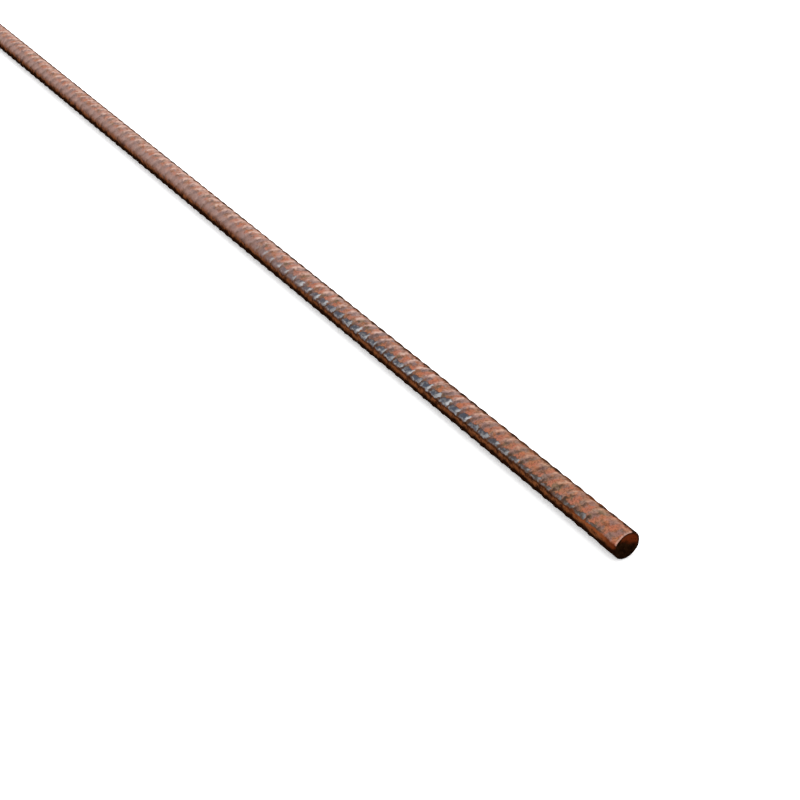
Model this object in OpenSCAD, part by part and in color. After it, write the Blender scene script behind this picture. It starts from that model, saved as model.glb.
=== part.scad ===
// Hot-rolled steel reinforcing bar, cut to stock length, lying on a level floor.
// Sizes are in millimetres. The bar lies along X, and the origin is on the floor under its middle.

/* [Bar] */
// Length from one cut end to the other
bar_length = 1219.2; // [300:0.1:6100]
// Diameter of the round core between the ribs
core_d = 12.4; // [8:0.1:40]

/* [Lengthwise ribs] */
// Height of each lengthwise rib above the core
rib_h = 0.65; // [0.4:0.05:2]
// Width of each lengthwise rib across its crest
rib_crest_w = 1.6; // [0.6:0.1:4]
// Lean of a rib's flank from the rib's middle plane, in degrees
rib_flank = 35; // [15:1:45]
// Radius of the fillet where a flank runs into the core
rib_fillet = 0.6; // [0.2:0.05:1]
// Turn of the bar about its axis as it lies, from ribs level to front rib raised, in degrees
rib_turn = 26; // [0:1:45]

/* [Cut ends] */
// Width of the broken rim round each cut face, measured inwards from the core
rim_break = 0.5; // [0.2:0.05:1.5]
// Slope of the broken rim back from the cut face, in degrees
rim_slope = 30; // [15:1:60]

/* [Hidden] */
$fn = 96;

core_r = core_d / 2;
crest_r = core_r + rib_h;

// Upper flank of a rib that stands along the section's x axis: where it leaves the crest,
// the way it runs down to the core, and the way it faces
crest_half_angle = asin(rib_crest_w / 2 / crest_r);
crest_corner = crest_r * [cos(crest_half_angle), sin(crest_half_angle)];
flank_down = [-cos(rib_flank), sin(rib_flank)];
flank_out = [sin(rib_flank), cos(rib_flank)];
flank_apex = [crest_corner.x + crest_corner.y / tan(rib_flank), 0];

// Centre of the fillet: one fillet radius clear of the flank and of the core
fillet_start = crest_corner + rib_fillet * flank_out;
fillet_lean = fillet_start * flank_down;
fillet_excess = fillet_start * fillet_start - pow(core_r + rib_fillet, 2);
fillet_run = -fillet_lean - sqrt(fillet_lean * fillet_lean - fillet_excess);
fillet_centre = fillet_start + fillet_run * flank_down;
fillet_on_flank = fillet_centre - rib_fillet * flank_out;
fillet_on_core = fillet_centre * core_r / (core_r + rib_fillet);

// The cone that breaks each rim starts on the cut face and ends clear outside the crests
face_r = core_r - rim_break;
envelope_clearance = 1;
envelope_r = crest_r + envelope_clearance;
envelope_drop = (envelope_r - face_r) * tan(rim_slope);

// The same point on the rib's lower flank
function below(point) = [point.x, -point.y];

// Section of one lengthwise rib, from the bar's axis to the rounded crest
module rib_section() {
    difference() {
        intersection() {
            polygon([
                [0, 0], below(fillet_on_core), below(fillet_on_flank),
                flank_apex, fillet_on_flank, fillet_on_core
            ]);
            circle(r = crest_r);
        }
        for (centre = [fillet_centre, below(fillet_centre)])
            translate(centre) circle(r = rib_fillet);
    }
}

// Section of the bar: a round core with a lengthwise rib on each side
module bar_section() {
    circle(r = core_r);
    for (side = [90, 270])
        rotate(side) rib_section();
}

// Solid of revolution that trims the rolled section to length and breaks its end rims
module cut_envelope() {
    half = bar_length / 2;
    rotate_extrude() polygon([
        [0, -half], [face_r, -half], [envelope_r, envelope_drop - half],
        [envelope_r, half - envelope_drop], [face_r, half], [0, half]
    ]);
}

module rebar() {
    color("#8c5a45")
        translate([0, 0, core_r])
            rotate([-rib_turn, 0, 0])
                rotate([0, 90, 0])
                    intersection() {
                        linear_extrude(height = bar_length, center = true) bar_section();
                        cut_envelope();
                    }
}

rebar();
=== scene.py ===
"""Weathered steel reinforcing bar: its rolled ribs, its rust and mill scale, and the photo's view."""
import math

import bmesh
import bpy
from mathutils import Matrix, Vector, noise


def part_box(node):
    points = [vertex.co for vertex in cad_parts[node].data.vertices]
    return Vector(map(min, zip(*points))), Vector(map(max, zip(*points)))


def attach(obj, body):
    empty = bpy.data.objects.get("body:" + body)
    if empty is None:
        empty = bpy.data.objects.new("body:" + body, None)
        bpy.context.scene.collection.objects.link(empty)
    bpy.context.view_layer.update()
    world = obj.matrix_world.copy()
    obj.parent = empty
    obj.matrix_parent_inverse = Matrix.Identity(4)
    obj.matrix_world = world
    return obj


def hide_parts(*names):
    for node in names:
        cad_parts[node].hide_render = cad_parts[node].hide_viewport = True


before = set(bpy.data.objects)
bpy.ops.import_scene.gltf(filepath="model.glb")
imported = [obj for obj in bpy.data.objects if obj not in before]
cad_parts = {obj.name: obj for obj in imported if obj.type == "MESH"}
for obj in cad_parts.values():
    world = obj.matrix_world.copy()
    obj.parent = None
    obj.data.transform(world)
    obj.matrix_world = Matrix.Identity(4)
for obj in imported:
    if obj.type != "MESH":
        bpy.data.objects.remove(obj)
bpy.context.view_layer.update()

MM = 0.001

# Bar, from the frame
BAR_LOW, BAR_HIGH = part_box("rebar")
BAR_MIDDLE = (BAR_LOW + BAR_HIGH) / 2
CORE_R = (BAR_HIGH.z - BAR_LOW.z) / 2
NEAR_X = BAR_HIGH.x
FAR_X = BAR_LOW.x

# Lengthwise ribs
RIB_HEIGHT = 0.65 * MM
RIB_TURN = 26  # degrees from level up to the front rib
# Section of half a rib: degrees from its middle, share of its height
RIB_SECTION = ((0.0, 1.0), (6.7, 0.96), (9.6, 0.48), (12.5, 0.08), (16.5, 0.0))
PLAIN_STEPS = 8  # points from a rib's foot to halfway between the ribs

# Cross ribs
CROSS_HEIGHT = 0.5 * MM
CROSS_PITCH = 7.65 * MM
CROSS_STARTS = 3  # spacings that one rib gains in a turn round the bar
CROSS_FIRST = 6.1 * MM  # from the near cut to the first rib, along the front rib
VALLEY_SHARE = 0.42  # share of the height that the valleys are filled to
# Profile of one rib: millimetres from its crest towards the far end, share of its height
CROSS_PROFILE = (
    (-3.6, 0.0), (-2.7, 0.0), (-1.95, 0.02), (-1.45, 0.14), (-1.0, 0.48), (-0.55, 0.88),
    (0.0, 1.0), (0.55, 0.88), (1.0, 0.48), (1.45, 0.14), (1.95, 0.02), (2.7, 0.0),
)
SPARE_RIBS = 5  # rolled past each end, then cut off
RIB_GONE = 7 * MM  # pressed flat up to this distance from a cut
RIB_WHOLE = 15 * MM  # and in full shape from this one on
PRESSED_SHARE = 0.9  # share of their height by which the pressed ends are thicker

# Dents of the rolled surface
SURFACE_ROUGH = 0.03 * MM
DENT_SIZE = 3.5 * MM
SMALL_DENT_SHARE = 0.5
SMALL_DENT_FINER = 2.3

# Cut ends
RIM_DROP = 0.3 * MM  # depth of the broken rim
# Rings of the cut face: share of the section, depth in millimetres
FACE_RINGS = ((0.94, 0.0), (0.9, 0.0), (0.72, 0.04), (0.5, 0.1), (0.25, 0.12))
EVEN_RINGS = 2  # rings by the rim that stay even
FACE_ROUGH = 0.12 * MM
GRAIN_SIZE = 1.6 * MM
ON_CUT = 0.001 * MM  # how near the cut a point counts as on it
RIM_WELD = 0.12 * MM  # points of a rim that are this close become one
SEAM_WELD = 0.012 * MM  # and so do those of the rolled sheet's two edges

# Layout of the bake map
BAKE_MAP = "OFBake"
STRIPS = 6  # strips that the bar's length is cut into
STRIPS_SHARE = 0.94  # share of the map's height that they fill
STRIP_MARGIN = 0.02  # share of a strip's height
FACE_PLACES = ((0.1, 0.97), (0.2, 0.97))  # middles of the two cut faces
FACE_SIZE = 0.05

# Distances from the near end, in metres, over which the weathering changes
POCKET_GROWS = (0.04, 0.12)  # the pockets of mill scale grow
RUST_GREYS = (0.06, 0.14)  # the rust turns greyer
DUST_GROWS = (0.10, 0.42)  # dust gathers
SOFTENS = (0.14, 0.36)  # the limits round the bar soften
SCALE_DULLS = (0.20, 0.33)  # the mill scale goes dull
POCKETS_AND_GLINTS_LAST = (0.26, 0.33)  # the pockets and their bare edges, with their painted glints, end

# Limits from here on: a share goes from 0 to 1 between two values, or from the third value to the
# fourth between the first two. Sides of ribs, lines, bands and the like rise between the first two of
# four values and fall between the last two. Above is measured from the plane of the lengthwise ribs,
# and across in that plane, from the bar's axis to the back.

# Upper face
UPPER_STARTS = (-0.7 * MM, -2.4 * MM)  # its lower edge above the plane, by the near end and farther on
UPPER_WHOLE = (0.5 * MM, 2.3 * MM)  # where it is complete, likewise
UPPER_BACK = (0.3 * MM, -1.8 * MM)  # its end across the bar
BACK_GAIN = 0.8 * MM  # how much farther back that is farther on
BACK_RUST = (1.2 * MM, 4.2 * MM)  # where the rust of the back takes over

# Sides of a cross rib, from its crest towards the far end: shade is painted on the dark side, a highlight
# on the light side
DARK_SIDE = (-2.6 * MM, -1.4 * MM, -0.9 * MM, 0.0)
FAR_DARK_SIDE = (-4.4 * MM, -2.4 * MM, -1.2 * MM, 0.9 * MM)  # farther along the bar
FAR_DARK_GROWS = (*SOFTENS, 0, 0.7)
LOW_DARK_SIDE = (-3.7 * MM, -1.4 * MM, -0.9 * MM, 1.8 * MM)  # on the underside
LIGHT_SIDE = (-1.3 * MM, 0.8 * MM, 1.6 * MM, 3.2 * MM)
BARE_GLINT_SIDE = (-1.1 * MM, 0.1 * MM, 0.7 * MM, 2.4 * MM)
GREY_SIDES = (-3.7 * MM, -2.0 * MM, 0.6 * MM, 2.4 * MM)

# Raggedness of the limits along, above and across: size of the noise, and how far it moves them
RAGGED_SIZE = 2 * MM
RAGGED_DETAIL = 1
RAGGED_ALONG = 3 * MM
RAGGED_ABOVE = 2 * MM
RAGGED_ACROSS = 4 * MM
NOISE_MIDDLE = 0.5

# Rust crust, by the noise of its patches, specks and fine grain
PATCH_SIZE = 3.2 * MM
PATCH_WARM = (0.36, 0.56)
SPECK_SIZE = 0.9 * MM
SPECK_PALE = (0.50, 0.72, 0, 0.8)
FINE_SIZE = 0.6 * MM
FINE_DEEP = (0.34, 0.50, 0.6, 0)
CRUST_ROUGHNESS = (0.3, 0.7, 0.78, 0.95)
SPECK_RELIEF = 0.6
FINE_RELIEF = 0.4

# Pits: spacing, edge as a share of it, and the size and noise of the pitted places
PIT_SPACING = 1.3 * MM
PIT_EDGE = (0.42, 0.15)
PITTED_SIZE = 5 * MM
PITTED = (0.48, 0.62)

# Patches of the upper rust
OLIVE_SIZE = 5 * MM
OLIVE_PATCHES = (0.42, 0.58)
BRICK_SIZE = 3.5 * MM
BRICK_SHIFT = (3, 5, 7)
BRICK_PATCHES = (0.42, 0.56)
BRICK_BETWEEN = (0.3, 1, 0.95, 0.4)  # fewer beside the cross ribs
MAUVE_SIZE = 3 * MM
MAUVE_SHIFT = (8, 2, 4)
MAUVE_PATCHES = (0.40, 0.58)
MAUVE_GROWS = (*RUST_GREYS, 0.6, 1.0)
GREY_BESIDE = (0, 1, 0.3, 1.0)  # olive and mauve keep to the sides of the cross ribs
HOLLOWS_DARKEN = (0.42, 0.52, 0.42, 0)  # by the crust's height
DUSTY_BAND = (-2.0 * MM, 0.9 * MM, 2.2 * MM, 4.6 * MM)  # grey dust above the plane, past the pockets
BAND_GROWS = (*SCALE_DULLS, 0, 0.85)

# Painted shade on the dark sides, by height above the plane
DARK_DEEPENS = (2.2 * MM, 0.9 * MM, 0, 0.8)  # by the front rib
DEEP_ENDS = (*BACK_RUST, 1.0, 0)
DEEP_FADES = (*SCALE_DULLS, 1.0, 0.4)
DASH_FADES = (5.6 * MM, 4.5 * MM)  # lost in the dust on top
DASH_HIGH = 0.05
DASH_LOW = (*POCKET_GROWS, 0.8, 0.6)
DASH_GAP = (2.3 * MM, 2.8 * MM, 3.2 * MM, 3.7 * MM)  # between the dash and the front rib
GAP_CLOSES = (*POCKET_GROWS, 1.0, 0)
GAP_LIGHTENS = (0, 1, 1.0, 0.2)
DARK_PATCHES = (0.36, 0.62, 1.0, 0.55)
DARK_DULLS = (*SCALE_DULLS, 1.0, 0.6)

# Dust over the upper rust: on top, where it also paints the top lighter as if lit from above, thin all
# over, and on the light sides, where it is a painted highlight
TOP_DUST_AND_LIGHT = (-4.8 * MM, -1.7 * MM, -0.9 * MM, 0.9 * MM)
TOP_SHARE = (*DUST_GROWS, 0.3, 0.5)
THIN_SHARE = (*DUST_GROWS, 0, 0.24)
LIGHT_STARTS = (3.9 * MM, 5.1 * MM)
LIGHT_LOW = 0.12
LIGHT_HIGH = (*RUST_GREYS, 0.65, 0.95)
DUST_SIZE = 2.2 * MM
DUST_PATCHES = (0.34, 0.64, 0.25, 1.0)
DARK_UNDUSTED = (0, 1, 1.0, 0.2)

# Shade of the underside, by height over the bar's axis
SHADED = (0.7 * MM, -1.3 * MM)
SHADE_BY_RIB = 0.6 * MM  # how much higher it reaches on the dark side of a cross rib
SHADE_FARTHER = 0.5 * MM  # how much higher farther along the bar, and by a cut
SHADE_SIZE = 4 * MM
SHADE_RAGGED = 4 * MM

# Side below the front rib: dark line of painted shade under the rib, red rust by a cut, orange rust next
# to that
DARK_LINE = (-1.6 * MM, -0.8 * MM, -0.4 * MM, 0.1 * MM)
LINE_FADES = (*SOFTENS, 0.7, 0.2)
LINE_STARTS = (12 * MM, 36 * MM, 0.1, 1.0)
SIDE_REDDENS = (11 * MM, 1 * MM)
SIDE_RED = 0.9
SIDE_WARMS = (3 * MM, 8 * MM, 22 * MM, 40 * MM)
WARM_REACH = (-2.4 * MM, -1.0 * MM, 0, 0.75)

# Back: broken dark line of painted shade behind the top, and shade
BACK_LINE = (-1.4 * MM, 0.0, 1.6 * MM, 4.6 * MM)
BACK_SIZE = 3.2 * MM
BACK_BREAKS = (0.38, 0.58, 0.95, 0.5)
BACK_SHADED = (*SHADED, 0.2, 0.65)

# Pockets of mill scale over the front rib
POCKET_TOP = (0.4 * MM, 2.1 * MM)  # height above the plane, by the near end and farther on
POCKET_CHANCE = 0.8 * MM  # how much higher some of them reach
POCKET_LOSS = 0.17  # height lost for each length towards the next rib
POCKET_FADE = 1.3 * MM
POCKET_DARK = (0, 1, 1.0, 0.2)  # thinner on the dark side of a rib
POCKET_ENDS = (*POCKETS_AND_GLINTS_LAST, 1.0, 0.2)
SCALE_OUTLINE = (0.05, 0.3, 0.5, 0.8)  # shares of scale at its dark outline
OUTLINE_FADES = (*SCALE_DULLS, 0.8, 0)
SCALE_EDGE = (0.05, 0.95)
SCALE_SIZE = 1.8 * MM
SCALE_SHIFT = (1, 6, 2)
GREY_PATCHES = (0.46, 0.66)
SMOKY_PATCHES = (0.66, 0.46)
SMOKY_FADES = (*POCKET_GROWS, 0.95, 0.15)
SCALE_DUSTS = (*SCALE_DULLS, 0, 0.8)
SCALE_METAL = 0.3
SCALE_SMOOTHS = (0, 1, 1.0, 0.55)  # roughness against the rust's
SCALE_FLATTENS = (0, 1, 1.0, 0.4)  # relief against the rust's

# Bare steel painted bright as glints: the pockets' edges, and the crest of the front rib
BARE_GLINT_STARTS = (0.2 * MM, 1.3 * MM)
BARE_GLINT_CHANCE = (0, 0.8, 0.3, 0.85)
BARE_GLINT_CREST = (-0.3 * MM, 0.1 * MM, 0.4 * MM, 0.9 * MM)
CREST_PATCHES = (0.38, 0.62, 0.05, 0.4)
CREST_FADES = (*SCALE_DULLS, 1.0, 0)
BARE_GLINT_GROWS = (*POCKET_GROWS, 0.3, 1.0)
BARE_GLINT_ENDS = (*POCKETS_AND_GLINTS_LAST, 1.0, 0.1)

# Rims and cut faces
RIM_WORN_AND_LIT = 0.6 * MM  # width of the worn edge, painted light on top as a highlight and dark below as shade
RIM_PATCHES = (0.40, 0.58, 0.25, 0.6)
FACE_RING = (6.2 * MM, 4.9 * MM, 0.1, 0.95)  # dark ring, by distance from the axis
RED_REACH = (8.8 * MM, 13.0 * MM)  # heights between which a face turns red, rust painted lighter towards the top as if lit
RED_LEAN = 0.55  # how much lower that is towards the back
RED_SIZE = 2.2 * MM
RED_RAGGED = 5 * MM

# Pits, bump and gloss of the two materials; bump as depth, strength
PIT_SHADE = 0.35
PIT_DEPTH = 0.4
CUT_PIT_SHADE = 0.6
RUST_BUMP = (0.14 * MM, 0.6)
CUT_BUMP = (0.2 * MM, 0.8)
NO_GLOSS = 0.0

# Rust, dust and steel colours
RUST_DEEP = (0.13, 0.048, 0.024, 1)
RUST_WARM = (0.335, 0.124, 0.055, 1)
RUST_PALE = (0.285, 0.136, 0.087, 1)
RUST_OLIVE = (0.170, 0.113, 0.068, 1)
RUST_BRICK = (0.340, 0.112, 0.063, 1)
RUST_MAUVE = (0.190, 0.125, 0.120, 1)
DARK_BROWN = (0.055, 0.031, 0.021, 1)
BACK_SHADE_BROWN = (0.020, 0.012, 0.008, 1)
DUST_OCHRE = (0.44, 0.255, 0.180, 1)
DUST_PINK_AND_HIGHLIGHT = (0.46, 0.300, 0.250, 1)
# Rust of the underside, painted darker than its own colour as shade
LOW_DEEP = (0.030, 0.008, 0.003, 1)
LOW_WARM = (0.135, 0.043, 0.014, 1)
LOW_PALE = (0.130, 0.050, 0.021, 1)
LOW_ORANGE = (0.215, 0.055, 0.016, 1)
SHADE_BROWN = (0.008, 0.0025, 0.001, 1)
SCALE_SLATE = (0.053, 0.061, 0.082, 1)
SCALE_GREY = (0.125, 0.122, 0.125, 1)
SCALE_DUSTY = (0.215, 0.140, 0.128, 1)
SCALE_SMOKY = (0.056, 0.043, 0.033, 1)
BARE_STEEL_GLINT = (0.43, 0.43, 0.44, 1)
# Cut steel, painted nearly black as shade, and red rust
CUT_DEEP = (0.004, 0.0015, 0.0005, 1)
CUT_WARM = (0.010, 0.004, 0.0015, 1)
CUT_PALE = (0.018, 0.007, 0.003, 1)
CUT_RED = (0.078, 0.013, 0.003, 1)

# Camera, from the photo: turn about the bar, height above level, and where it sees the near end
VIEW_TURN = math.radians(56.53)
VIEW_RISE = math.radians(33.84)
LENS = 75
SENSOR = 36
NEAR_END_RIGHT = 92.53 * MM
NEAR_END_DOWN = 59.34 * MM
NEAR_END_AHEAD = 678.80 * MM
CLIP_START = 0.01
CLIP_END = 50

# Studio, in metres and watts
WHITE = (1, 1, 1, 1)
FLOOR_HALF = 6
FLOOR_COLOUR = (0.92, 0.92, 0.92, 1)
FLOOR_ROUGHNESS = 0.9
FLOOR_GLOW = 0.35
KEY_PLACE = (-0.5, 0.35, 2.2)
KEY_TARGET = (0.25, 0, 0)
KEY_SIZE = 2.5
KEY_POWER = 22
ROOM_STRENGTH = 1.25


def smooth_step(low, high, value):
    """Rises smoothly from 0 at low to 1 at high, or falls where high is below low."""
    share = min(max((value - low) / (high - low), 0.0), 1.0)
    return share * share * (3 - 2 * share)


def ring_turns():
    """Turns of one ring's points from the front rib, in degrees, gathered at the two ribs."""
    quarter = [turn for turn, _ in RIB_SECTION]
    edge = quarter[-1]
    quarter += [edge + (90 - edge) * part / PLAIN_STEPS for part in range(1, PLAIN_STEPS + 1)]
    half = [-turn for turn in reversed(quarter[1:])] + quarter
    return half + [180 + turn for turn in half[1:]]


def off_rib(turn):
    """Degrees from the nearer lengthwise rib."""
    return min(turn % 180, 180 - turn % 180)


def rib_share(turn):
    """Share of a lengthwise rib's height at a turn from the front rib."""
    off = off_rib(turn)
    for (inner, inner_share), (outer, outer_share) in zip(RIB_SECTION, RIB_SECTION[1:]):
        if off <= outer:
            return inner_share + (outer_share - inner_share) * (off - inner) / (outer - inner)
    return 0.0


def slant(turn):
    """How far a cross rib has run towards the near end at a turn from the front rib."""
    return CROSS_STARTS * CROSS_PITCH * turn / 360


def from_axis(x, turn, radius):
    """The point at a place along the bar, a turn from the front rib and a distance from the axis."""
    angle = math.radians(RIB_TURN + turn)
    return Vector((x, BAR_MIDDLE.y - radius * math.cos(angle), BAR_MIDDLE.z + radius * math.sin(angle)))


def rib_height(x, turn, cross):
    """Height over the core of both kinds of rib, where a cross rib has a share of its own height."""
    whole = smooth_step(RIB_GONE, RIB_WHOLE, min(NEAR_X - x, x - FAR_X))
    cross = VALLEY_SHARE + (1 - VALLEY_SHARE) * cross
    cross_height = CROSS_HEIGHT * (PRESSED_SHARE + (cross - PRESSED_SHARE) * whole)
    long_height = RIB_HEIGHT * rib_share(turn)
    return cross_height + long_height - cross_height * long_height / RIB_HEIGHT


def dent_height(place):
    """Height of the dents at a place on the core."""
    small = noise.noise(place / DENT_SIZE * SMALL_DENT_FINER)
    return SURFACE_ROUGH * (noise.noise(place / DENT_SIZE) + SMALL_DENT_SHARE * small)


def roll_bar(bm):
    """A sheet of rows along the ribs, longer than the bar, rolled round its axis with the ribs in it."""
    bm.loops.layers.uv.new(BAKE_MAP)
    turns = ring_turns()
    around = len(turns) - 1
    rows = len(CROSS_PROFILE)
    rings = rows * (math.ceil((NEAR_X - FAR_X) / CROSS_PITCH) + 2 * SPARE_RIBS)
    bmesh.ops.create_grid(bm, x_segments=rings, y_segments=around, size=1, calc_uvs=True)
    seam = []
    for vert in bm.verts:
        cell, row = divmod(round((1 - vert.co.x) / 2 * rings), rows)
        point = round((1 + vert.co.y) / 2 * around)
        turn = turns[point]
        along, cross = CROSS_PROFILE[row]
        x = NEAR_X - CROSS_FIRST - (cell - SPARE_RIBS) * CROSS_PITCH - along * MM + slant(turn)
        radius = CORE_R + rib_height(x, turn, cross) + dent_height(from_axis(x, turn, CORE_R))
        vert.co = from_axis(x, turn, radius)
        if point in (0, around):
            seam.append(vert)
    bmesh.ops.remove_doubles(bm, verts=seam, dist=SEAM_WELD)


def cut_end(bm, end_x, outward):
    """Cuts the bar across, breaks the rim of the cut and closes it with an uneven face."""
    cut_x = end_x - outward * RIM_DROP
    bmesh.ops.bisect_plane(
        bm, geom=bm.verts[:] + bm.edges[:] + bm.faces[:], plane_co=(cut_x, 0, 0),
        plane_no=(outward, 0, 0), clear_outer=True,
    )
    rim = [vert for vert in bm.verts if abs(vert.co.x - cut_x) < ON_CUT]
    bmesh.ops.remove_doubles(bm, verts=rim, dist=RIM_WELD)
    edges = [edge for edge in bm.edges if edge.is_boundary and abs(edge.verts[0].co.x - cut_x) < ON_CUT]
    before = 1.0
    bar_faces = set(bm.faces)
    rim_faces = set()
    for ring, (share, depth) in enumerate(FACE_RINGS):
        grown = bmesh.ops.extrude_edge_only(bm, edges=edges)["geom"]
        verts = [part for part in grown if isinstance(part, bmesh.types.BMVert)]
        edges = [part for part in grown if isinstance(part, bmesh.types.BMEdge)]
        bmesh.ops.scale(
            bm, verts=verts, vec=(1, share / before, share / before),
            space=Matrix.Translation((0, -BAR_MIDDLE.y, -BAR_MIDDLE.z)),
        )
        before = share
        for vert in verts:
            rough = FACE_ROUGH * noise.noise(vert.co / GRAIN_SIZE) if ring >= EVEN_RINGS else 0
            vert.co.x = end_x - outward * depth * MM + rough
        if ring == 0:
            rim_faces = set(bm.faces) - bar_faces
    bmesh.ops.edgeloop_fill(bm, edges=edges)
    end_faces = set(bm.faces) - bar_faces
    for face in end_faces - rim_faces:
        face.material_index = 1
    return end_faces


def lay_out_map(bm, ends):
    """Lays the rolled sheet out in strips above one another, with the two ends over them."""
    bake = bm.loops.layers.uv[BAKE_MAP]
    for face in set(bm.faces).difference(*ends):
        middle = sum(loop[bake].uv.x for loop in face.loops) / len(face.loops)
        strip = min(int(middle * STRIPS), STRIPS - 1)
        for loop in face.loops:
            along, across = loop[bake].uv
            inside = STRIP_MARGIN + (1 - 2 * STRIP_MARGIN) * across
            loop[bake].uv = (along * STRIPS - strip, (strip + inside) * STRIPS_SHARE / STRIPS)
    for end_faces, (left, low) in zip(ends, FACE_PLACES):
        for loop in (loop for face in end_faces for loop in face.loops):
            off = (loop.vert.co - BAR_MIDDLE) / (2 * (CORE_R + RIB_HEIGHT)) * FACE_SIZE
            loop[bake].uv = (left + off.y, low + off.z)


def make_bar():
    """The whole bar as one closed mesh."""
    bm = bmesh.new()
    roll_bar(bm)
    ends = (cut_end(bm, NEAR_X, 1), cut_end(bm, FAR_X, -1))
    lay_out_map(bm, ends)
    bmesh.ops.recalc_face_normals(bm, faces=bm.faces)
    for face in bm.faces:
        face.smooth = True
    mesh = bpy.data.meshes.new("ribbed_bar")
    bm.to_mesh(mesh)
    bm.free()
    bar = bpy.data.objects.new("ribbed_bar", mesh)
    bpy.context.scene.collection.objects.link(bar)
    return bar


def feed(tree, socket, value):
    """Links another node's output to a socket, or sets the socket's own value."""
    if isinstance(value, bpy.types.NodeSocket):
        tree.links.new(value, socket)
    else:
        socket.default_value = value


def add_node(tree, kind, inputs=None, **settings):
    """A node with its settings, and its inputs given by name or place."""
    made = tree.nodes.new(kind)
    for name, value in settings.items():
        setattr(made, name, value)
    for key, value in (inputs or {}).items():
        feed(tree, made.inputs[key], value)
    return made


def grain(tree, vector, size, detail=3):
    """Noise with features of about one size."""
    return add_node(
        tree, "ShaderNodeTexNoise", {"Vector": vector, "Scale": 1 / size, "Detail": detail},
    ).outputs["Fac"]


def step(tree, value, low, high, bottom=0.0, top=1.0):
    """A smooth step from bottom, where a value is low, to top, where it is high."""
    limits = {"Value": value, "From Min": low, "From Max": high, "To Min": bottom, "To Max": top}
    return add_node(tree, "ShaderNodeMapRange", limits, interpolation_type="SMOOTHSTEP").outputs["Result"]


def calc(tree, operation, *values):
    """One sum on up to three values."""
    return add_node(tree, "ShaderNodeMath", dict(enumerate(values)), operation=operation).outputs[0]


def product(tree, *values):
    """Several values multiplied."""
    result = values[0]
    for value in values[1:]:
        result = calc(tree, "MULTIPLY", result, value)
    return result


def cover(tree, share, below, above):
    """One colour laid over another by a share."""
    return add_node(tree, "ShaderNodeMix", {0: share, 6: below, 7: above}, data_type="RGBA").outputs[2]


def within(tree, value, limits):
    """Rises from 0 to 1 between the first two limits and falls back between the last two."""
    rise_start, rise_end, fall_start, fall_end = limits
    return product(tree, step(tree, value, rise_start, rise_end), step(tree, value, fall_end, fall_start))


def shifted(tree, vector, by):
    """The same coordinates moved, for a pattern of its own."""
    return add_node(tree, "ShaderNodeMapping", {"Vector": vector, "Location": by}).outputs[0]


def bump(tree, height, depth, strength):
    """The normal of a surface raised by a height of up to one depth."""
    return add_node(
        tree, "ShaderNodeBump", {"Height": height, "Distance": depth, "Strength": strength},
    ).outputs["Normal"]


def new_group(name, inputs, outputs):
    """An empty shader group with named sockets, and its input and output nodes."""
    tree = bpy.data.node_groups.new(name, "ShaderNodeTree")
    for label, kind in inputs.items():
        tree.interface.new_socket(label, in_out="INPUT", socket_type=kind)
    for label, kind in outputs.items():
        tree.interface.new_socket(label, in_out="OUTPUT", socket_type=kind)
    return tree, tree.nodes.new("NodeGroupInput").outputs, tree.nodes.new("NodeGroupOutput").inputs


def use_group(tree, group, **inputs):
    """A group's outputs, with its inputs fed."""
    made = tree.nodes.new("ShaderNodeGroup")
    made.node_tree = group
    for name, value in inputs.items():
        feed(tree, made.inputs[name], value)
    return made.outputs


def new_material(name):
    """An empty material: its tree, its shader and its object coordinates."""
    material = bpy.data.materials.new(name)
    material.use_nodes = True
    tree = material.node_tree
    place = add_node(tree, "ShaderNodeTexCoord").outputs["Object"]
    return material, tree, tree.nodes["Principled BSDF"], place


def rust_crust():
    """Rust in patches of two tones with specks of a third, and its roughness and height."""
    tree, given, result = new_group(
        "rust_crust",
        {"Vector": "NodeSocketVector", "Deep": "NodeSocketColor", "Warm": "NodeSocketColor",
         "Pale": "NodeSocketColor"},
        {"Color": "NodeSocketColor", "Roughness": "NodeSocketFloat", "Height": "NodeSocketFloat"},
    )
    patches = grain(tree, given["Vector"], PATCH_SIZE)
    specks = grain(tree, given["Vector"], SPECK_SIZE)
    fine = grain(tree, given["Vector"], FINE_SIZE)
    colour = cover(tree, step(tree, patches, *PATCH_WARM), given["Deep"], given["Warm"])
    colour = cover(tree, step(tree, specks, *SPECK_PALE), colour, given["Pale"])
    feed(tree, result["Color"], cover(tree, step(tree, fine, *FINE_DEEP), colour, given["Deep"]))
    feed(tree, result["Roughness"], step(tree, specks, *CRUST_ROUGHNESS))
    relief = calc(tree, "ADD", product(tree, specks, SPECK_RELIEF), product(tree, fine, FINE_RELIEF))
    feed(tree, result["Height"], relief)
    return tree


def pits():
    """Small round pits, sunk into some places and not into others."""
    tree, given, result = new_group("pits", {"Vector": "NodeSocketVector"}, {"Pit": "NodeSocketFloat"})
    cells = add_node(tree, "ShaderNodeTexVoronoi", {"Vector": given["Vector"], "Scale": 1 / PIT_SPACING})
    hollow = step(tree, cells.outputs["Distance"], *PIT_EDGE)
    some = step(tree, grain(tree, given["Vector"], PITTED_SIZE), *PITTED)
    feed(tree, result["Pit"], product(tree, hollow, some))
    return tree


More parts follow.
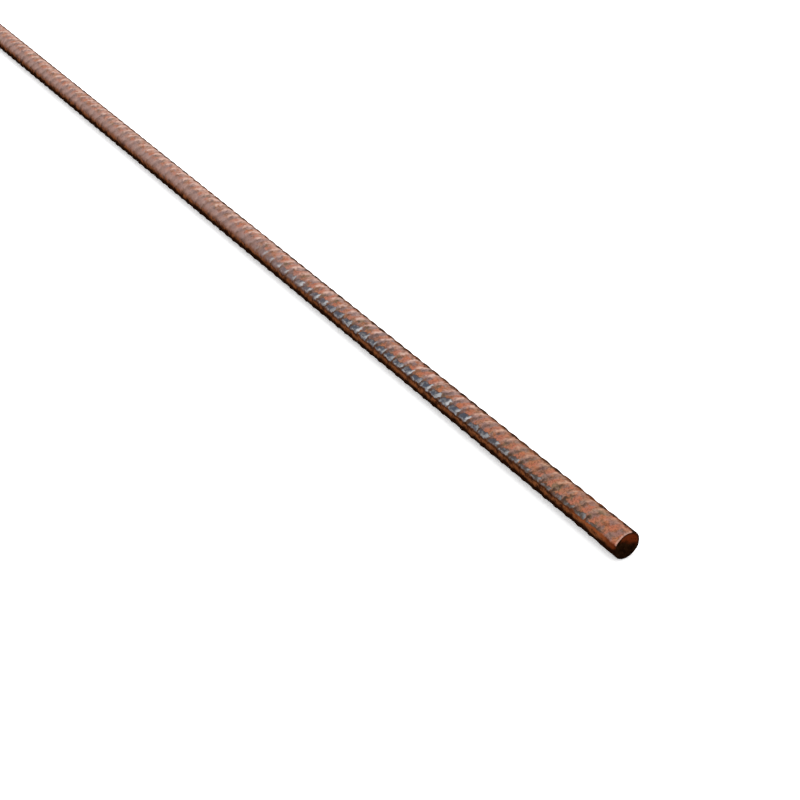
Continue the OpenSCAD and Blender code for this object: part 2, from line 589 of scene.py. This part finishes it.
def rib_place(tree, place):
    """Where a point lies among the ribs and from the cuts, ragged along, above and across."""
    level = add_node(
        tree, "ShaderNodeMapping",
        {"Vector": place, "Location": BAR_MIDDLE, "Rotation": (-math.radians(RIB_TURN), 0, 0)},
        vector_type="TEXTURE",
    ).outputs[0]
    x, across, above = add_node(tree, "ShaderNodeSeparateXYZ", {0: level}).outputs
    turn = calc(tree, "ARCTAN2", above, product(tree, across, -1.0))
    run = calc(tree, "SUBTRACT", product(tree, turn, CROSS_STARTS * CROSS_PITCH / (2 * math.pi)), x)
    ragged = calc(tree, "SUBTRACT", grain(tree, place, RAGGED_SIZE, RAGGED_DETAIL), NOISE_MIDDLE)
    run = calc(tree, "ADD", run, calc(tree, "MULTIPLY_ADD", ragged, RAGGED_ALONG, NEAR_X - CROSS_FIRST))
    valley = calc(tree, "FLOOR", product(tree, run, 1 / CROSS_PITCH))
    chance = add_node(tree, "ShaderNodeTexWhiteNoise", {"W": valley}, noise_dimensions="1D")
    return {
        "along": calc(tree, "WRAP", run, CROSS_PITCH / 2, -CROSS_PITCH / 2),
        "past": calc(tree, "WRAP", run, CROSS_PITCH, 0.0),
        "chance": chance.outputs["Value"],
        "above": calc(tree, "MULTIPLY_ADD", ragged, RAGGED_ABOVE, above),
        "across": calc(tree, "MULTIPLY_ADD", ragged, RAGGED_ACROSS, across),
        "from_cut": calc(tree, "SUBTRACT", NEAR_X, calc(tree, "ABSOLUTE", x)),
        "from_near": calc(tree, "SUBTRACT", NEAR_X, x),
    }


def by_distance(tree, spot, limits):
    """A share that changes with the distance from the near end."""
    return step(tree, spot["from_near"], *limits)


def upper_share(tree, spot):
    """Share of the upper face: its edge along the front rib and its end behind the top."""
    starts = by_distance(tree, spot, (*SOFTENS, *UPPER_STARTS))
    whole = by_distance(tree, spot, (*SOFTENS, *UPPER_WHOLE))
    back = calc(tree, "SUBTRACT", spot["across"], by_distance(tree, spot, (*SOFTENS, 0, BACK_GAIN)))
    return product(tree, step(tree, spot["above"], starts, whole), step(tree, back, *UPPER_BACK))


def patchy_rust(tree, place, spot, rust, brick):
    """Orange rust with olive and mauve patches beside the cross ribs and brick ones between them."""
    beside = step(tree, within(tree, spot["along"], GREY_SIDES), *GREY_BESIDE)
    olive = product(tree, step(tree, grain(tree, place, OLIVE_SIZE), *OLIVE_PATCHES), beside)
    colour = cover(tree, olive, rust["Color"], RUST_OLIVE)
    bricky = product(tree, step(tree, brick, *BRICK_PATCHES), step(tree, beside, *BRICK_BETWEEN))
    colour = cover(tree, bricky, colour, RUST_BRICK)
    mauve = grain(tree, shifted(tree, place, MAUVE_SHIFT), MAUVE_SIZE)
    greyed = product(tree, step(tree, mauve, *MAUVE_PATCHES), beside, by_distance(tree, spot, MAUVE_GROWS))
    colour = cover(tree, greyed, colour, RUST_MAUVE)
    colour = cover(tree, step(tree, rust["Height"], *HOLLOWS_DARKEN), colour, DARK_BROWN)
    band = product(tree, within(tree, spot["above"], DUSTY_BAND), by_distance(tree, spot, BAND_GROWS))
    return cover(tree, band, colour, SCALE_DUSTY)


def painted_shade_share(tree, spot, dark, brick):
    """Share of painted shade on the dark sides: a dash on each, and a deeper place by the front rib."""
    deep = product(
        tree, step(tree, spot["above"], *DARK_DEEPENS), step(tree, spot["across"], *DEEP_ENDS),
        by_distance(tree, spot, DEEP_FADES),
    )
    dash = step(tree, spot["above"], *DASH_FADES, DASH_HIGH, by_distance(tree, spot, DASH_LOW))
    gap = product(tree, within(tree, spot["above"], DASH_GAP), by_distance(tree, spot, GAP_CLOSES))
    marks = calc(tree, "ADD", product(tree, dash, step(tree, gap, *GAP_LIGHTENS)), deep)
    patchy = step(tree, brick, *DARK_PATCHES)
    return product(tree, dark, marks, patchy, by_distance(tree, spot, DARK_DULLS))


def dust_and_highlight_share(tree, place, spot, shade_share, light):
    """Share of dust and painted light: thin all over, thicker on top, where it paints the top lit, and on
    the light sides as a painted highlight, little on painted shade.
    """
    on_top = within(tree, spot["across"], TOP_DUST_AND_LIGHT)
    thin = by_distance(tree, spot, THIN_SHARE)
    film = calc(tree, "MULTIPLY_ADD", on_top, by_distance(tree, spot, TOP_SHARE), thin)
    streak = step(tree, spot["above"], *LIGHT_STARTS, LIGHT_LOW, by_distance(tree, spot, LIGHT_HIGH))
    film = calc(tree, "ADD", film, product(tree, light, streak))
    patchy = step(tree, grain(tree, place, DUST_SIZE), *DUST_PATCHES)
    return product(tree, film, patchy, step(tree, shade_share, *DARK_UNDUSTED))


def upper_rust_and_painted_light(tree, place, spot, rust, dark, light):
    """Patchy rust, with painted shade on one side of each cross rib and dust with a painted highlight on
    the other.
    """
    brick = grain(tree, shifted(tree, place, BRICK_SHIFT), BRICK_SIZE)
    shade_share = painted_shade_share(tree, spot, dark, brick)
    # dark brown here is painted shade on the dark side of each cross rib
    colour = cover(tree, shade_share, patchy_rust(tree, place, spot, rust, brick), DARK_BROWN)
    dust = cover(tree, by_distance(tree, spot, RUST_GREYS), DUST_OCHRE, DUST_PINK_AND_HIGHLIGHT)
    # partly real dust, partly painted light: a lighter top and a highlight on the light side of each cross
    # rib
    return cover(tree, dust_and_highlight_share(tree, place, spot, shade_share, light), colour, dust)


def shade_height(tree, place, spot, reddened):
    """Height over the axis with a ragged edge, less where the shade of the underside reaches higher."""
    z = add_node(tree, "ShaderNodeSeparateXYZ", {0: place}).outputs["Z"]
    high = calc(tree, "SUBTRACT", calc(tree, "SUBTRACT", z, BAR_MIDDLE.z), SHADE_RAGGED / 2)
    high = calc(tree, "MULTIPLY_ADD", grain(tree, place, SHADE_SIZE), SHADE_RAGGED, high)
    high = calc(tree, "MULTIPLY_ADD", within(tree, spot["along"], LOW_DARK_SIDE), -SHADE_BY_RIB, high)
    high = calc(tree, "ADD", high, by_distance(tree, spot, (*SOFTENS, 0, -SHADE_FARTHER)))
    return calc(tree, "MULTIPLY_ADD", reddened, -SHADE_FARTHER, high)


def lower_rust_and_painted_shade(tree, place, crust, spot, upper_colour):
    """Dark brown rust painted darker as shade, nearly black along the shaded edge; the upper rust again on
    the back.
    """
    reddened = step(tree, spot["from_cut"], *SIDE_REDDENS)
    high = shade_height(tree, place, spot, reddened)
    colour = use_group(tree, crust, Vector=place, Deep=LOW_DEEP, Warm=LOW_WARM, Pale=LOW_PALE)["Color"]
    warmed = within(tree, spot["from_cut"], SIDE_WARMS)
    warmed = product(tree, warmed, step(tree, spot["above"], *WARM_REACH))
    colour = cover(tree, warmed, colour, LOW_ORANGE)
    colour = cover(tree, product(tree, reddened, SIDE_RED), colour, CUT_RED)
    # painted shade: a dark line under the front rib, and the shade of the underside
    line = product(
        tree, within(tree, spot["above"], DARK_LINE), by_distance(tree, spot, LINE_FADES),
        step(tree, spot["from_cut"], *LINE_STARTS),
    )
    colour = cover(tree, calc(tree, "MAXIMUM", line, step(tree, high, *SHADED)), colour, SHADE_BROWN)
    # a broken dark line of painted shade behind the top
    broken = step(tree, grain(tree, place, BACK_SIZE), *BACK_BREAKS)
    back_line = product(tree, within(tree, spot["across"], BACK_LINE), broken)
    colour = cover(tree, back_line, colour, BACK_SHADE_BROWN)
    behind = cover(tree, step(tree, high, *BACK_SHADED), upper_colour, DARK_BROWN)
    behind = cover(tree, back_line, behind, BACK_SHADE_BROWN)
    return cover(tree, step(tree, spot["across"], *BACK_RUST), colour, behind)


def scale_share(tree, spot, dark):
    """Share of mill scale: pockets over the front rib, highest just past the crest of a cross rib."""
    top = by_distance(tree, spot, (*POCKET_GROWS, *POCKET_TOP))
    top = calc(tree, "MULTIPLY_ADD", spot["past"], -POCKET_LOSS, top)
    top = calc(tree, "MULTIPLY_ADD", spot["chance"], POCKET_CHANCE, top)
    pocket = step(tree, calc(tree, "SUBTRACT", spot["above"], top), POCKET_FADE, 0)
    return product(tree, pocket, step(tree, dark, *POCKET_DARK), by_distance(tree, spot, POCKET_ENDS))


def bare_glint_share(tree, spot, patches):
    """Share of bare steel, painted bright as glints, on the pockets' edges and on the crest of the front
    rib.
    """
    edge = product(
        tree, within(tree, spot["along"], BARE_GLINT_SIDE), step(tree, spot["above"], *BARE_GLINT_STARTS),
        step(tree, spot["chance"], *BARE_GLINT_CHANCE),
    )
    crest = product(
        tree, within(tree, spot["above"], BARE_GLINT_CREST), step(tree, patches, *CREST_PATCHES),
        by_distance(tree, spot, CREST_FADES),
    )
    bare = product(tree, calc(tree, "MAXIMUM", edge, crest), by_distance(tree, spot, BARE_GLINT_ENDS))
    return product(tree, bare, by_distance(tree, spot, BARE_GLINT_GROWS))


def mill_scale(tree, place, spot):
    """Slate, grey and smoky scale, duller farther along the bar, and its bare edges painted bright as
    glints.
    """
    patches = grain(tree, shifted(tree, place, SCALE_SHIFT), SCALE_SIZE)
    colour = cover(tree, step(tree, patches, *GREY_PATCHES), SCALE_SLATE, SCALE_GREY)
    smoky = product(tree, by_distance(tree, spot, SMOKY_FADES), step(tree, patches, *SMOKY_PATCHES))
    colour = cover(tree, smoky, colour, SCALE_SMOKY)
    colour = cover(tree, by_distance(tree, spot, SCALE_DUSTS), colour, SCALE_DUSTY)
    # the light grey of the bare edges is a painted glint as well as bare steel
    return cover(tree, bare_glint_share(tree, spot, patches), colour, BARE_STEEL_GLINT)


def rib_sides(tree, spot, ribbed):
    """Shares of the nearest cross rib's dark side, where shade is painted, and of its light side, where a
    highlight is painted.
    """
    far_dark = within(tree, spot["along"], FAR_DARK_SIDE)
    far_dark = product(tree, far_dark, by_distance(tree, spot, FAR_DARK_GROWS))
    dark = calc(tree, "MAXIMUM", within(tree, spot["along"], DARK_SIDE), far_dark)
    light = within(tree, spot["along"], LIGHT_SIDE)
    return product(tree, dark, ribbed), product(tree, light, ribbed)


def weathered_bar(crust, pitting):
    """Dusty rust above with painted shade and highlights by the cross ribs, mill scale in the pockets over
    the front rib with painted glints, and rust below painted dark as shade.
    """
    material, tree, shader, place = new_material("weathered_bar")
    spot = rib_place(tree, place)
    ribbed = step(tree, spot["from_cut"], RIB_GONE, RIB_WHOLE)
    dark, light = rib_sides(tree, spot, ribbed)
    upper = upper_share(tree, spot)
    rust = use_group(tree, crust, Vector=place, Deep=RUST_DEEP, Warm=RUST_WARM, Pale=RUST_PALE)
    pit = use_group(tree, pitting, Vector=place)["Pit"]
    high_colour = upper_rust_and_painted_light(tree, place, spot, rust, dark, light)
    colour = cover(tree, upper, lower_rust_and_painted_shade(tree, place, crust, spot, high_colour), high_colour)

    scale = product(tree, scale_share(tree, spot, dark), upper, ribbed)
    outline = product(tree, within(tree, scale, SCALE_OUTLINE), by_distance(tree, spot, OUTLINE_FADES))
    colour = cover(tree, outline, colour, DARK_BROWN)
    colour = cover(tree, step(tree, scale, *SCALE_EDGE), colour, mill_scale(tree, place, spot))
    # worn rim: pink as a painted highlight on the upper face, nearly black as painted shade below
    worn_lit_rim = step(tree, spot["from_cut"], RIM_DROP + RIM_WORN_AND_LIT, RIM_DROP)
    worn_lit_rim = product(tree, worn_lit_rim, step(tree, rust["Height"], *RIM_PATCHES))
    colour = cover(tree, worn_lit_rim, colour, cover(tree, upper, CUT_DEEP, DUST_PINK_AND_HIGHLIGHT))
    colour = cover(tree, product(tree, pit, PIT_SHADE), colour, LOW_DEEP)

    feed(tree, shader.inputs["Base Color"], colour)
    roughness = product(tree, rust["Roughness"], step(tree, scale, *SCALE_SMOOTHS))
    feed(tree, shader.inputs["Roughness"], roughness)
    feed(tree, shader.inputs["Metallic"], product(tree, scale, SCALE_METAL))
    shader.inputs["Specular IOR Level"].default_value = NO_GLOSS
    crusty = product(tree, rust["Height"], step(tree, scale, *SCALE_FLATTENS))
    height = calc(tree, "SUBTRACT", crusty, product(tree, pit, PIT_DEPTH))
    feed(tree, shader.inputs["Normal"], bump(tree, height, *RUST_BUMP))
    return material


def cut_face(crust, pitting):
    """Cut steel painted nearly black as shade, with red-brown rust towards the top, painted lighter there
    as if lit, and a dark ring by the rim.
    """
    material, tree, shader, place = new_material("cut_face")
    _, back, high = add_node(tree, "ShaderNodeSeparateXYZ", {0: place}).outputs
    high = calc(tree, "MULTIPLY_ADD", grain(tree, place, RED_SIZE), RED_RAGGED, high)
    reached = calc(tree, "MULTIPLY_ADD", back, RED_LEAN, high)
    flat = add_node(
        tree, "ShaderNodeMapping", {"Vector": place, "Location": -BAR_MIDDLE, "Scale": (0, 1, 1)},
    ).outputs[0]
    off_axis = add_node(tree, "ShaderNodeVectorMath", {0: flat}, operation="LENGTH").outputs["Value"]
    red = product(tree, step(tree, reached, *RED_REACH), step(tree, off_axis, *FACE_RING))
    rust = use_group(tree, crust, Vector=place, Deep=CUT_DEEP, Warm=CUT_WARM, Pale=CUT_PALE)
    pit = use_group(tree, pitting, Vector=place)["Pit"]
    # red-brown rust towards the top, painted lighter there as if lit; near-black elsewhere as painted
    # shade
    colour = cover(tree, red, rust["Color"], CUT_RED)
    colour = cover(tree, product(tree, pit, CUT_PIT_SHADE), colour, CUT_DEEP)

    feed(tree, shader.inputs["Base Color"], colour)
    feed(tree, shader.inputs["Roughness"], rust["Roughness"])
    shader.inputs["Specular IOR Level"].default_value = NO_GLOSS
    height = calc(tree, "SUBTRACT", rust["Height"], pit)
    feed(tree, shader.inputs["Normal"], bump(tree, height, *CUT_BUMP))
    return material


def view_axes(turn, rise):
    """The camera's right, up and forward directions."""
    back = Vector((math.sin(turn) * math.cos(rise), -math.cos(turn) * math.cos(rise), math.sin(rise)))
    right = Vector((math.cos(turn), math.sin(turn), 0))
    return right, back.cross(right), -back


def place_camera():
    """The photo's camera, looking past the near end along the bar."""
    right, up, ahead = view_axes(VIEW_TURN, VIEW_RISE)
    near_end = Vector((NEAR_X, BAR_MIDDLE.y, BAR_MIDDLE.z))
    camera = bpy.data.objects.new("camera", bpy.data.cameras.new("camera"))
    camera.data.lens = LENS
    camera.data.sensor_width = SENSOR
    camera.data.clip_start = CLIP_START
    camera.data.clip_end = CLIP_END
    where = near_end - NEAR_END_RIGHT * right + NEAR_END_DOWN * up - NEAR_END_AHEAD * ahead
    turn = Matrix((right, up, -ahead)).transposed()
    camera.matrix_world = Matrix.Translation(where) @ turn.to_4x4()
    bpy.context.scene.collection.objects.link(camera)
    bpy.context.scene.camera = camera


def lay_floor():
    """A plain white floor just under the cross ribs, which glows a little."""
    bm = bmesh.new()
    bmesh.ops.create_grid(bm, x_segments=1, y_segments=1, size=FLOOR_HALF)
    bmesh.ops.translate(bm, verts=bm.verts, vec=(0, 0, BAR_LOW.z - CROSS_HEIGHT - SURFACE_ROUGH))
    mesh = bpy.data.meshes.new("floor")
    bm.to_mesh(mesh)
    bm.free()
    floor = bpy.data.objects.new("floor", mesh)
    bpy.context.scene.collection.objects.link(floor)
    paint = bpy.data.materials.new("pale_floor")
    paint.use_nodes = True
    shader = paint.node_tree.nodes["Principled BSDF"]
    shader.inputs["Base Color"].default_value = FLOOR_COLOUR
    shader.inputs["Roughness"].default_value = FLOOR_ROUGHNESS
    shader.inputs["Emission Color"].default_value = WHITE
    shader.inputs["Emission Strength"].default_value = FLOOR_GLOW
    mesh.materials.append(paint)


def hang_softbox():
    """A round soft light over the far part of the bar, aimed at its near part."""
    lamp = bpy.data.lights.new("key_softbox", "AREA")
    lamp.shape = "DISK"
    lamp.size = KEY_SIZE
    lamp.energy = KEY_POWER
    light = bpy.data.objects.new("key_softbox", lamp)
    aim = (Vector(KEY_TARGET) - Vector(KEY_PLACE)).to_track_quat("-Z", "Y")
    light.matrix_world = Matrix.Translation(KEY_PLACE) @ aim.to_matrix().to_4x4()
    bpy.context.scene.collection.objects.link(light)


def whiten_room():
    """A white room round the bar, shown in plain colours."""
    world = bpy.data.worlds.new("studio")
    world.use_nodes = True
    background = world.node_tree.nodes["Background"]
    background.inputs["Color"].default_value = WHITE
    background.inputs["Strength"].default_value = ROOM_STRENGTH
    bpy.context.scene.world = world
    bpy.context.scene.view_settings.view_transform = "Standard"


bar = make_bar()
crust_group = rust_crust()
pit_group = pits()
bar.data.materials.append(weathered_bar(crust_group, pit_group))
bar.data.materials.append(cut_face(crust_group, pit_group))
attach(bar, "root")
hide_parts("rebar")
lay_floor()
hang_softbox()
whiten_room()
place_camera()
